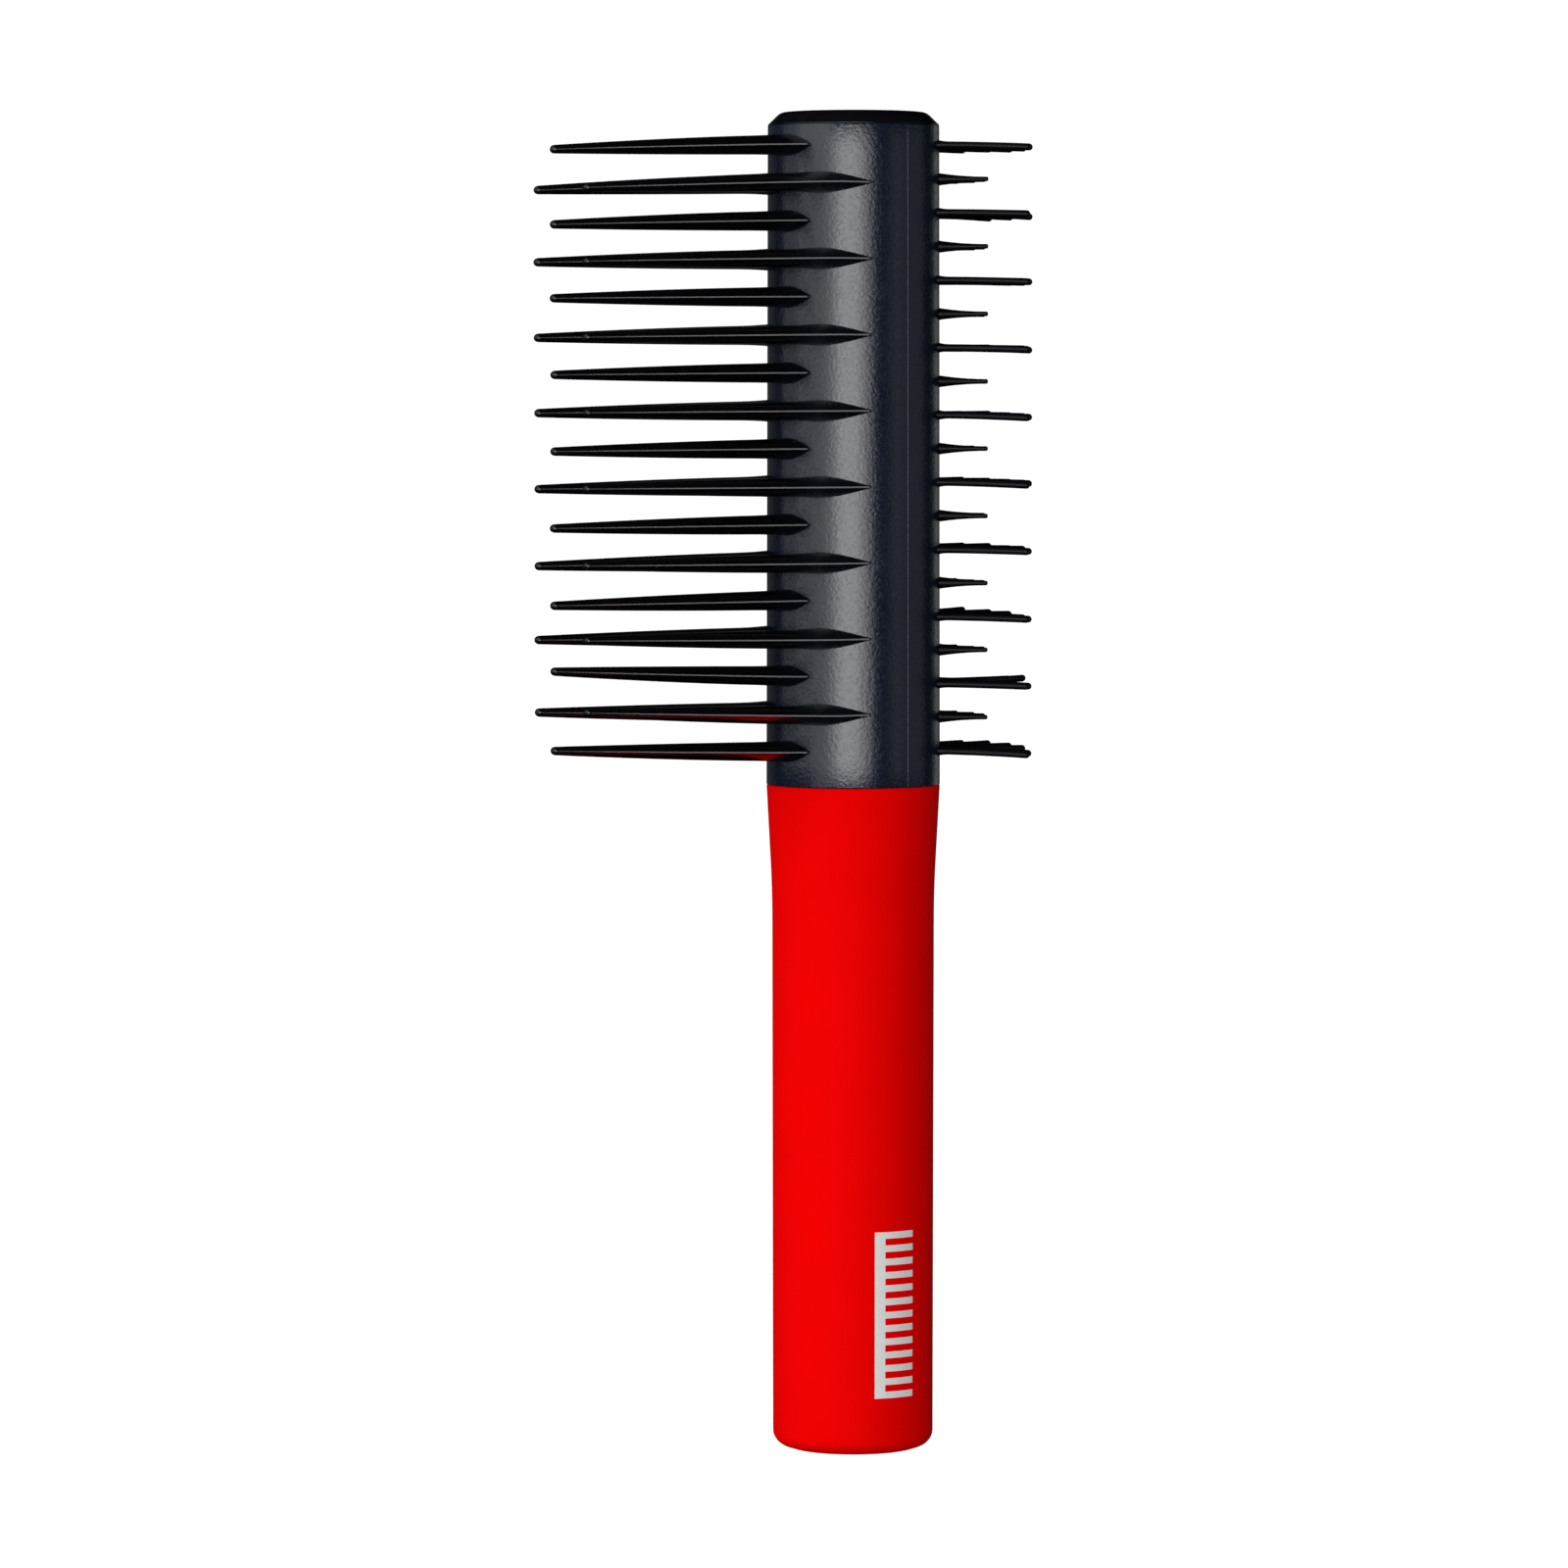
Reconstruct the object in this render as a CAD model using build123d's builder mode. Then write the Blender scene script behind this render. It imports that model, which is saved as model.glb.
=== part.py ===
from build123d import *
from math import cos, radians, sin, sqrt
import os

os.makedirs("parts", exist_ok=True)

# A two-sided styling hairbrush, upright on the end of its handle.  The origin is the centre
# of the handle's end face, +Z runs up the brush, the blade teeth point along -X and the pins
# along +X.  Lengths are in millimetres and angles in degrees.

# Overall sizes
handle_length = 119.4
head_length = 120.0
total_length = handle_length + head_length
barrel_radius_bottom = 15.55
barrel_radius_top = 15.3
shell_wall = 1.6
seam_angle = 90.0  # each seam, measured round the barrel from +X
seam_half_gap = 0.12  # an angle
part_gap = 0.05  # clearance between pieces that sit against each other

# Handle: a rigid core under a soft sleeve that flares out to meet the head
grip_radius = 14.52
grip_radius_bottom = 14.4
grip_flare_length = 14.0
grip_flare_radius = 14.8
grip_blend_length = 12.0
grip_edge_radius = 3.0
grip_foot_height = 0.2  # how far the flat end stands proud of the rounding round it
grip_wall = 2.0
core_wall = 3.2
core_floor = 2.5
spigot_height = 2.0

# End cap
cap_height = 2.4
cap_edge_height = 0.15
cap_face_radius = 13.0
cap_lip_height = 1.0
cap_lip_wall = 1.2

# Rows of teeth and pins, counted down from the top
first_tooth_row = total_length - 6.1
tooth_rows = 17
tooth_pitch = 6.72
first_pin_row = total_length - 5.9
pin_rows = 19
pin_pitch = 6.0

# Blade teeth: a lens-shaped section with flat edges, which tapers to a blunt tip
tooth_length = 51.4
root_half_width_middle = 5.8
root_half_width_outer = 6.7
root_half_height = 1.97
flare_length = 7.0  # the root is a little thicker over this much of the tooth
flare_thickening = 0.23
tip_half_width = 0.95
tip_half_height = 0.76
tip_bevel = 0.5
edge_half_height = 0.13
heel_bevel = 1.5  # the inner end is cut back by this before it joins the rail
slot_gap = 0.06

# Combs: one in the middle and one to each side, all parallel
comb_offset = 7.2
rail_front = -4.6  # X
rail_thickness = 1.5
rail_width = 3.0

# Pins
long_pin_reach = 32.0  # from the barrel's axis
long_pin_radius = 0.63
long_pin_root_radius = 0.86
long_pin_root_length = 2.2
long_pin_columns = 9
long_pin_spacing = 12.5  # an angle
short_pin_reach = 24.1
short_pin_tip_radius = 0.43
short_pin_waist = (19.5, 0.58)
short_pin_root_radius = 1.06
short_pin_columns = 7
short_pin_spacing = 14.0  # an angle
pin_foot_radius = 1.2
pin_foot_height = 0.7

# Pad that holds the pins, and the backing that closes it
pad_thickness = 0.9
backing_thickness = 1.6
pad_angle = 58.0

# Spine, which bears on the backs of the comb rails and on the backing
spine_foot_length = 25.0
spine_plate_thickness = 2.0
spine_web_width = 6.0
spine_web_reach = 9.8

# Places worked out from the sizes above
cap_seat = total_length - cap_height
barrel_radius = (barrel_radius_bottom + barrel_radius_top) / 2
wall_inside = barrel_radius_top - shell_wall
core_radius = grip_radius_bottom - grip_wall
core_bore = core_radius - core_wall
spigot_top = handle_length + spigot_height
inner_bottom = spigot_top + part_gap
inner_top = cap_seat - cap_lip_height - part_gap
inner_height = inner_top - inner_bottom
tooth_heights = [first_tooth_row - row * tooth_pitch for row in range(tooth_rows)]
pin_heights = [first_pin_row - row * pin_pitch for row in range(pin_rows)]
pad_outside = wall_inside - part_gap
pad_inside = pad_outside - pad_thickness
backing_outside = pad_inside - pin_foot_height - 3 * part_gap
backing_inside = backing_outside - backing_thickness


def save(piece, name):
    """Label a finished piece and write it to its own file."""
    piece.part.label = name
    export_step(piece.part, f"parts/{name}.step")


def upright_plane(angle):
    """The plane through Z at an angle from +X: its x is outward and its y is up."""
    turn = radians(angle)
    return Plane(origin=(0, 0, 0), x_dir=(cos(turn), sin(turn), 0), z_dir=(sin(turn), -cos(turn), 0))


def around(columns, spacing, heights):
    """Places round the barrel: some columns, centred on +X, at each height."""
    angles = [(column - (columns - 1) / 2) * spacing for column in range(columns)]
    return [Location((0, 0, height), (0, 0, angle)) for height in heights for angle in angles]


long_pin_places = around(long_pin_columns, long_pin_spacing, pin_heights[0::2])
short_pin_places = around(short_pin_columns, short_pin_spacing, pin_heights[1::2])


def cut_pin_holes():
    """Cut a hole for every pin through the piece being built."""
    for radius, places in (
        (long_pin_root_radius + part_gap, long_pin_places),
        (short_pin_root_radius + part_gap, short_pin_places),
    ):
        with Locations(*places):
            Cylinder(
                radius,
                2 * barrel_radius,
                rotation=(0, 90, 0),
                align=(Align.CENTER, Align.CENTER, Align.MIN),
                mode=Mode.SUBTRACT,
            )


def curved_plate(inside, outside):
    """A curved plate behind the pins, as tall as the inner pieces of the head."""
    with BuildPart() as plate:
        with BuildSketch(upright_plane(-pad_angle)):
            with Locations(((inside + outside) / 2, (inner_bottom + inner_top) / 2)):
                Rectangle(outside - inside, inner_height)
        revolve(axis=Axis.Z, revolution_arc=2 * pad_angle)
    return plate.part


def half_shell(start, end):
    """A shell of the barrel between two angles, with a flange at its foot."""
    flange_inside = core_radius + part_gap
    with BuildPart() as shell:
        with BuildSketch(upright_plane(start)):
            with BuildLine():
                Polyline(
                    (flange_inside, handle_length),
                    (barrel_radius_bottom, handle_length),
                    (barrel_radius_top, cap_seat),
                    (wall_inside, cap_seat),
                    (wall_inside, spigot_top),
                    (flange_inside, spigot_top),
                    close=True,
                )
            make_face()
        revolve(axis=Axis.Z, revolution_arc=end - start)
    return shell.part


def lens(half_width, half_height):
    """The section of a tooth: two shallow arcs that meet at flat edges."""
    with BuildSketch() as section:
        with BuildLine():
            ThreePointArc((half_width, edge_half_height), (0, half_height), (-half_width, edge_half_height))
            Line((-half_width, edge_half_height), (-half_width, -edge_half_height))
            ThreePointArc((-half_width, -edge_half_height), (0, -half_height), (half_width, -edge_half_height))
            Line((half_width, -edge_half_height), (half_width, edge_half_height))
        make_face()
    return section.sketch


def facing_teeth(x, y):
    """The plane across the teeth at a place, facing their tips: its x is -Y and its y is +Z."""
    return Plane(origin=(x, y, 0), x_dir=(0, -1, 0), z_dir=(-1, 0, 0))


def blade(offset, root_half_width):
    """One tooth at Z = 0, some way from the middle plane."""
    root_x = -sqrt(barrel_radius**2 - offset**2)
    inside = root_x - rail_front
    width_taper = (root_half_width - tip_half_width) / tooth_length
    height_taper = (root_half_height - flare_thickening - tip_half_height) / tooth_length
    flare_width = root_half_width - width_taper * flare_length
    flare_height = root_half_height - flare_thickening - height_taper * flare_length
    heel_height = root_half_height * (1 - heel_bevel / root_half_width)
    sections = (
        (inside, root_half_width - heel_bevel, heel_height),
        (inside + heel_bevel, root_half_width, root_half_height),
        (0, root_half_width, root_half_height),
        (flare_length, flare_width, flare_height),
        (tooth_length - tip_bevel, tip_half_width, tip_half_height),
        (tooth_length, tip_half_width - tip_bevel, tip_half_height - tip_bevel),
    )
    with BuildPart() as tooth:
        for reach, half_width, half_height in sections:
            with BuildSketch(facing_teeth(root_x - reach, offset)):
                add(lens(half_width, half_height))
        loft(ruled=True)
    return tooth.part


# Where each comb stands, how wide its teeth are at the root, and the rows they take
combs = {
    "comb_middle": (0.0, root_half_width_middle, tooth_heights[0::2]),
    "comb_front": (-comb_offset, root_half_width_outer, tooth_heights[1::2]),
    "comb_back": (comb_offset, root_half_width_outer, tooth_heights[1::2]),
}


# ---- The head's shells ----

# Shell on the tooth side, slotted for every tooth
with BuildPart() as tooth_shell:
    add(half_shell(seam_angle + seam_half_gap, 360 - seam_angle - seam_half_gap))
    for offset, root_half_width, heights in combs.values():
        with BuildSketch(facing_teeth(rail_front, offset)):
            with Locations(*[(0, height) for height in heights]):
                add(lens(root_half_width + slot_gap, root_half_height + slot_gap))
        extrude(amount=barrel_radius, mode=Mode.SUBTRACT)
save(tooth_shell, "tooth_shell")

# Shell on the pin side, drilled for every pin
with BuildPart() as pin_shell:
    add(half_shell(seam_half_gap - seam_angle, seam_angle - seam_half_gap))
    cut_pin_holes()
save(pin_shell, "pin_shell")

# Chamfered cap that closes the top, with a lip inside the shells
with BuildPart() as head_cap:
    lip_outside = wall_inside - part_gap
    lip_inside = lip_outside - cap_lip_wall
    lip_bottom = cap_seat - cap_lip_height
    with BuildSketch(Plane.XZ):
        with BuildLine():
            Polyline(
                (0, cap_seat),
                (lip_inside, cap_seat),
                (lip_inside, lip_bottom),
                (lip_outside, lip_bottom),
                (lip_outside, cap_seat),
                (barrel_radius_top, cap_seat),
                (barrel_radius_top, cap_seat + cap_edge_height),
                (cap_face_radius, total_length),
                (0, total_length),
                close=True,
            )
        make_face()
    revolve(axis=Axis.Z)
save(head_cap, "head_cap")

# ---- Combs of blade teeth ----

# Each comb is an upright rail inside the barrel with a row of teeth out through the slots
for name, (offset, root_half_width, heights) in combs.items():
    tooth = blade(offset, root_half_width)
    with BuildPart() as comb:
        with BuildSketch(Plane.XY.offset(inner_bottom)):
            with Locations((rail_front + rail_thickness / 2, offset)):
                Rectangle(rail_thickness, rail_width)
        extrude(amount=inner_height)
        with Locations(*[(0, 0, height) for height in heights]):
            add(tooth)
    save(comb, name)

# ---- Pins, their pad and its backing ----

# One long pin: a foot under the pad, a thicker root through the wall, a round tip
with BuildPart() as long_pin:
    foot_bottom = backing_outside + part_gap
    foot_top = pad_inside - 2 * part_gap
    tip_start = long_pin_reach - long_pin_radius
    tip_side = long_pin_radius * sqrt(0.5)
    with BuildSketch(Plane.XZ):
        with BuildLine():
            Polyline(
                (long_pin_reach, 0),
                (foot_bottom, 0),
                (foot_bottom, pin_foot_radius),
                (foot_top, pin_foot_radius),
                (foot_top, long_pin_root_radius),
                (barrel_radius, long_pin_root_radius),
                (barrel_radius + long_pin_root_length, long_pin_radius),
                (tip_start, long_pin_radius),
            )
            ThreePointArc((tip_start, long_pin_radius), (tip_start + tip_side, tip_side), (long_pin_reach, 0))
        make_face()
    revolve(axis=Axis.X)

with BuildPart() as long_pins:
    with Locations(*long_pin_places):
        add(long_pin.part)
save(long_pins, "long_pins")

# One short pin: the same foot, a stout root, and a hollow taper to a blunt tip
with BuildPart() as short_pin:
    with BuildSketch(Plane.XZ):
        with BuildLine():
            Polyline(
                (short_pin_reach, short_pin_tip_radius),
                (short_pin_reach, 0),
                (foot_bottom, 0),
                (foot_bottom, pin_foot_radius),
                (foot_top, pin_foot_radius),
                (foot_top, short_pin_root_radius),
                (barrel_radius, short_pin_root_radius),
            )
            ThreePointArc(
                (barrel_radius, short_pin_root_radius),
                short_pin_waist,
                (short_pin_reach, short_pin_tip_radius),
            )
        make_face()
    revolve(axis=Axis.X)

with BuildPart() as short_pins:
    with Locations(*short_pin_places):
        add(short_pin.part)
save(short_pins, "short_pins")

# Flexible pad behind the shell, which every pin passes through
with BuildPart() as pin_pad:
    add(curved_plate(pad_inside, pad_outside))
    cut_pin_holes()
save(pin_pad, "pin_pad")

# Backing that keeps the pins' feet against the pad
with BuildPart() as pad_backing:
    add(curved_plate(backing_inside, backing_outside))
save(pad_backing, "pad_backing")

# ---- Spine and handle ----

# Spine: a plate behind the combs' rails, a web that reaches the backing, and a round foot
# that plugs into the handle
with BuildPart() as spine:
    plate_front = rail_front + rail_thickness + part_gap
    plate_back = plate_front + spine_plate_thickness
    plate_width = 2 * comb_offset + rail_width
    with BuildSketch(Plane.XY.offset(inner_bottom)):
        for start, end, width in (
            (plate_front, plate_back, plate_width),
            (plate_back, spine_web_reach, spine_web_width),
        ):
            with Locations(((start + end) / 2, 0)):
                Rectangle(end - start, width)
    extrude(amount=inner_height)
    with BuildSketch(Plane.XY.offset(inner_bottom)):
        Circle(core_bore - part_gap)
    extrude(amount=-spine_foot_length)
save(spine, "spine")

# Rigid core of the handle: a tube with a closed end, and a spigot that the head clamps
with BuildPart() as handle_core:
    core_bottom = grip_wall + part_gap
    with BuildSketch(Plane.XZ):
        with BuildLine():
            Polyline(
                (0, core_bottom),
                (core_radius, core_bottom),
                (core_radius, spigot_top),
                (core_bore, spigot_top),
                (core_bore, core_bottom + core_floor),
                (0, core_bottom + core_floor),
                close=True,
            )
        make_face()
    revolve(axis=Axis.Z)
save(handle_core, "handle_core")

# Soft sleeve: closed and rounded at its end, straight, then flared to the head's size
with BuildPart() as grip_sleeve:
    flare_start = handle_length - grip_flare_length
    blend_start = flare_start - grip_blend_length
    flare_slope = (barrel_radius_bottom - grip_flare_radius) / grip_flare_length
    blend_corner = flare_start - (grip_flare_radius - grip_radius) / flare_slope
    foot_radius = grip_radius_bottom - grip_edge_radius
    edge_round = grip_edge_radius - grip_foot_height
    edge_side = edge_round * (1 - sqrt(0.5))
    sleeve_bore = core_radius + part_gap
    with BuildSketch(Plane.XZ):
        with BuildLine():
            Polyline(
                (0, 0),
                (foot_radius, 0),
                (foot_radius + grip_foot_height, grip_foot_height),
            )
            ThreePointArc(
                (foot_radius + grip_foot_height, grip_foot_height),
                (grip_radius_bottom - edge_side, grip_foot_height + edge_side),
                (grip_radius_bottom, grip_edge_radius),
            )
            Line((grip_radius_bottom, grip_edge_radius), (grip_radius, blend_start))
            Bezier(
                (grip_radius, blend_start),
                (grip_radius, blend_corner),
                (grip_flare_radius, flare_start),
            )
            Polyline(
                (grip_flare_radius, flare_start),
                (barrel_radius_bottom, handle_length),
                (sleeve_bore, handle_length),
                (sleeve_bore, grip_wall),
                (0, grip_wall),
                (0, 0),
            )
        make_face()
    revolve(axis=Axis.Z)
save(grip_sleeve, "grip_sleeve")
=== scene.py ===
import math
import random

import bmesh
import bpy
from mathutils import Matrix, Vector


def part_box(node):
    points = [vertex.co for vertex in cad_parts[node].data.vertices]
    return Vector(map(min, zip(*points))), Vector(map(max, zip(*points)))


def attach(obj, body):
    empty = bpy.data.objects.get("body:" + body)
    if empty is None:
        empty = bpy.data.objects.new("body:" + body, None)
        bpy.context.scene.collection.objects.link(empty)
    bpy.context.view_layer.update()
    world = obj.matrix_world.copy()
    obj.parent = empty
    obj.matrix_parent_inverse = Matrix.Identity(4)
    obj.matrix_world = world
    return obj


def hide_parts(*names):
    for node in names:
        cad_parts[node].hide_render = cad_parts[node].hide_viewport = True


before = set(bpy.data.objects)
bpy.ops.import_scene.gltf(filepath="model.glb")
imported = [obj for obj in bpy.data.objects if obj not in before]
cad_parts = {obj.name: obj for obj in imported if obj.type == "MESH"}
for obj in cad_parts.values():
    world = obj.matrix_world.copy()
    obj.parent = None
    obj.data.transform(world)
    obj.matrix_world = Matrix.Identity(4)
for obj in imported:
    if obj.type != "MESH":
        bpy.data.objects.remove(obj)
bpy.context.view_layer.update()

MM = 0.001

# The frame: +Z up the brush from the handle's end, teeth along -X, pins along +X.
# Lengths are in millimetres until a mesh is made, and angles are in degrees.

# ---- Sizes that the CAD model sets ----


def cad_box(node):
    """A CAD node's lowest and highest corners in millimetres."""
    low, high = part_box(node)
    return low / MM, high / MM


sleeve_top = cad_box("grip_sleeve")[1]
cap_top = cad_box("head_cap")[1]
rail_bottom, rail_top = cad_box("comb_middle")

HANDLE_TOP = sleeve_top.z
TOTAL = cap_top.z
CAP_SEAT = cad_box("tooth_shell")[1].z
BARREL_BOTTOM = sleeve_top.x  # the barrel's radius at its foot, and then at its top
BARREL_TOP = cap_top.x
BARREL_RADIUS = (BARREL_BOTTOM + BARREL_TOP) / 2
RAIL_BOTTOM = rail_bottom.z
RAIL_TOP = rail_top.z

# ---- Sizes that part.py also holds ----

SHELL_WALL = 1.6
SEAM_ANGLE = 90.0
SEAM_HALF_GAP = 0.12
PART_GAP = 0.05

GRIP_RADIUS = 14.52
GRIP_RADIUS_BOTTOM = 14.4
GRIP_FLARE_LENGTH = 14.0
GRIP_FLARE_RADIUS = 14.8
GRIP_BLEND_LENGTH = 12.0
GRIP_EDGE_RADIUS = 3.0
GRIP_FOOT_HEIGHT = 0.2  # how far the flat end stands proud of the rounding round it
GRIP_WALL = 2.0

CAP_FACE_RADIUS = 13.0
CAP_LIP_HEIGHT = 1.0
CAP_LIP_WALL = 1.2

FIRST_TOOTH_ROW = TOTAL - 6.1
TOOTH_ROWS = 17
TOOTH_PITCH = 6.72
FIRST_PIN_ROW = TOTAL - 5.9
PIN_ROWS = 19
PIN_PITCH = 6.0

TOOTH_LENGTH = 51.4
ROOT_HALF_WIDTH_MIDDLE = 5.8
ROOT_HALF_WIDTH_OUTER = 6.7
ROOT_HALF_HEIGHT = 1.97
FLARE_LENGTH = 7.0
FLARE_THICKENING = 0.23
TIP_HALF_WIDTH = 0.95
TIP_HALF_HEIGHT = 0.76
HEEL_BEVEL = 1.5
COMB_OFFSET = 7.2
RAIL_FRONT = -4.6
RAIL_THICKNESS = 1.5
RAIL_WIDTH = 3.0

LONG_PIN_REACH = 32.0
LONG_PIN_RADIUS = 0.63
LONG_PIN_ROOT_RADIUS = 0.86
LONG_PIN_ROOT_LENGTH = 2.2
LONG_PIN_COLUMNS = 9
LONG_PIN_SPACING = 12.5
SHORT_PIN_REACH = 24.1
SHORT_PIN_TIP_RADIUS = 0.43
SHORT_PIN_ROOT_RADIUS = 1.06
SHORT_PIN_COLUMNS = 7
SHORT_PIN_SPACING = 14.0
PIN_FOOT_RADIUS = 1.2
PIN_FOOT_BOTTOM = 11.9
PIN_FOOT_TOP = 12.6

TOOTH_HEIGHTS = [FIRST_TOOTH_ROW - row * TOOTH_PITCH for row in range(TOOTH_ROWS)]
PIN_HEIGHTS = [FIRST_PIN_ROW - row * PIN_PITCH for row in range(PIN_ROWS)]

# ---- The view ----

VIEW_AZIMUTH = -38.0
CAMERA_DISTANCE = 1245.0
CAMERA_HEIGHT = 189.4
PICTURE_WIDTH = 280.8  # what the frame takes in at the brush's axis
PICTURE_CENTRE = 119.4
AXIS_RIGHT_OF_CENTRE = 12.4
SENSOR_WIDTH = 36.0


# ---- Mesh helpers ----

SHARP_ANGLE = 42.0  # an edge that turns by more than this shows as a corner


def make_piece(name, points, faces, material, nodes=(), painted_highlight_strength=None):
    """A smooth mesh object from points in millimetres, riding on the one body.

    The last argument, if it is given, is a number for each face that its material reads: how strongly
    the painted highlight along the teeth's edges shows there.
    """
    mesh = bpy.data.meshes.new(name)
    mesh.from_pydata([Vector(point) * MM for point in points], [], faces)
    if painted_highlight_strength:
        mesh.attributes.new("painted_highlight_strength", "FLOAT", "FACE").data.foreach_set("value", painted_highlight_strength)
    mesh.validate()
    built = bmesh.new()
    built.from_mesh(mesh)
    bmesh.ops.recalc_face_normals(built, faces=built.faces)
    built.to_mesh(mesh)
    built.free()
    mesh.polygons.foreach_set("use_smooth", [True] * len(mesh.polygons))
    mesh.set_sharp_from_angle(angle=math.radians(SHARP_ANGLE))
    mesh.materials.append(material)
    piece = bpy.data.objects.new(name, mesh)
    bpy.context.scene.collection.objects.link(piece)
    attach(piece, "root")
    if nodes:
        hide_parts(*nodes)
    return piece


def arc(centre, radius, start, end, steps):
    """Points on an arc in the plane of an outline, angles from its first axis."""
    turns = [math.radians(start + (end - start) * i / steps) for i in range(steps + 1)]
    return [(centre[0] + radius * math.cos(t), centre[1] + radius * math.sin(t)) for t in turns]


CORNER_STEPS = 4


def round_corners(corners):
    """An open outline from corners (x, y, radius), with each corner of some radius rounded."""
    points = []
    for i, (x, y, radius) in enumerate(corners):
        if not radius:
            points.append((x, y))
            continue
        here = Vector((x, y))
        before = (Vector(corners[i - 1][:2]) - here).normalized()
        after = (Vector(corners[i + 1][:2]) - here).normalized()
        half = before.angle(after) / 2
        reach = radius / math.tan(half)
        start, end = here + before * reach, here + after * reach
        for k in range(CORNER_STEPS + 1):
            t = k / CORNER_STEPS
            a, b, c = (1 - t) ** 2, 2 * t * (1 - t) * math.sin(half), t * t
            points.append(tuple((start * a + here * b + end * c) / (a + b + c)))
    return points


def lathe_points(outline, segments):
    """Points and faces of an outline (radius, height) turned round Z; its ends are on Z."""
    points = [(0, 0, outline[0][1])]
    faces = []
    rings = outline[1:-1]
    for radius, height in rings:
        for k in range(segments):
            turn = 2 * math.pi * k / segments
            points.append((radius * math.cos(turn), radius * math.sin(turn), height))
    last = len(points)
    points.append((0, 0, outline[-1][1]))
    for k in range(segments):
        after = (k + 1) % segments
        faces.append((0, 1 + k, 1 + after))
        for ring in range(len(rings) - 1):
            low, high = 1 + ring * segments, 1 + (ring + 1) * segments
            faces.append((low + k, high + k, high + after, low + after))
        top = 1 + (len(rings) - 1) * segments
        faces.append((top + k, last, top + after))
    return points, faces


def tube_faces(ring_count, ring_size):
    """Faces that join a row of rings, then one face over each end."""
    faces = []
    for ring in range(ring_count - 1):
        low, high = ring * ring_size, (ring + 1) * ring_size
        for k in range(ring_size):
            after = (k + 1) % ring_size
            faces.append((low + k, low + after, high + after, high + k))
    faces.append(tuple(range(ring_size)))
    last = (ring_count - 1) * ring_size
    faces.append(tuple(last + k for k in reversed(range(ring_size))))
    return faces


def add_part(points, faces, new_points, new_faces):
    """Append one closed shape to the points and faces of a piece."""
    offset = len(points)
    points.extend(new_points)
    faces.extend(tuple(offset + k for k in face) for face in new_faces)


def box_part(low, high):
    """Points and faces of a box."""
    across, along, up = zip(low, high)
    points = [(x, y, z) for z in up for y in along for x in across]
    faces = [(0, 2, 3, 1), (4, 5, 7, 6), (0, 1, 5, 4), (2, 6, 7, 3), (0, 4, 6, 2), (1, 3, 7, 5)]
    return points, faces


# ---- Material helpers ----

# Where a Mix node keeps its sockets: the factor, the two floats, then the two colours
FACTOR, FLOAT_A, FLOAT_B, COLOUR_A, COLOUR_B = 0, 2, 3, 6, 7
FLOAT_RESULT, COLOUR_RESULT = 0, 2


class Nodes:
    """A material's node tree, with short ways to add and link nodes."""

    def __init__(self, name):
        self.material = bpy.data.materials.new(name)
        self.material.use_nodes = True
        self.tree = self.material.node_tree
        self.shader = self.tree.nodes["Principled BSDF"]
        coordinates = self.tree.nodes.new("ShaderNodeTexCoord")
        self.place = coordinates.outputs["Object"]

    def link(self, output, socket):
        self.tree.links.new(output, socket)

    def noise(self, size, detail=2.0, roughness=0.5, stretch=None):
        """Noise whose features are about size millimetres across."""
        place = self.place
        if stretch:
            mapping = self.tree.nodes.new("ShaderNodeMapping")
            mapping.inputs["Scale"].default_value = stretch
            self.link(place, mapping.inputs["Vector"])
            place = mapping.outputs["Vector"]
        noise = self.tree.nodes.new("ShaderNodeTexNoise")
        noise.inputs["Scale"].default_value = 1 / (size * MM)
        noise.inputs["Detail"].default_value = detail
        noise.inputs["Roughness"].default_value = roughness
        self.link(place, noise.inputs["Vector"])
        return noise.outputs["Fac"]

    def spread(self, value, low, high, start=0.3, end=0.7):
        """A value from start to end, mapped onto low to high and held there."""
        mapped = self.tree.nodes.new("ShaderNodeMapRange")
        mapped.inputs["From Min"].default_value = start
        mapped.inputs["From Max"].default_value = end
        mapped.inputs["To Min"].default_value = low
        mapped.inputs["To Max"].default_value = high
        self.link(value, mapped.inputs["Value"])
        return mapped.outputs["Result"]

    def add(self, first, second):
        """The sum of two values."""
        sum_node = self.tree.nodes.new("ShaderNodeMath")
        self.link(first, sum_node.inputs[0])
        self.link(second, sum_node.inputs[1])
        return sum_node.outputs["Value"]

    def colour(self, factor, first, second):
        """A colour that goes from first to second with factor."""
        mix = self.tree.nodes.new("ShaderNodeMix")
        mix.data_type = "RGBA"
        mix.inputs[COLOUR_A].default_value = (*first, 1)
        mix.inputs[COLOUR_B].default_value = (*second, 1)
        self.link(factor, mix.inputs[FACTOR])
        return mix.outputs[COLOUR_RESULT]

    def bump(self, height, depth):
        """A bump whose full height is depth millimetres, put on the shader."""
        bump = self.tree.nodes.new("ShaderNodeBump")
        bump.inputs["Strength"].default_value = 1.0
        bump.inputs["Distance"].default_value = depth * MM
        self.link(height, bump.inputs["Height"])
        self.link(bump.outputs["Normal"], self.shader.inputs["Normal"])

    def feed(self, name, value):
        """Drive one of the shader's inputs with a value or a colour."""
        self.link(value, self.shader.inputs[name])

    def specular_level(self, level):
        self.shader.inputs["Specular IOR Level"].default_value = level


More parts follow.
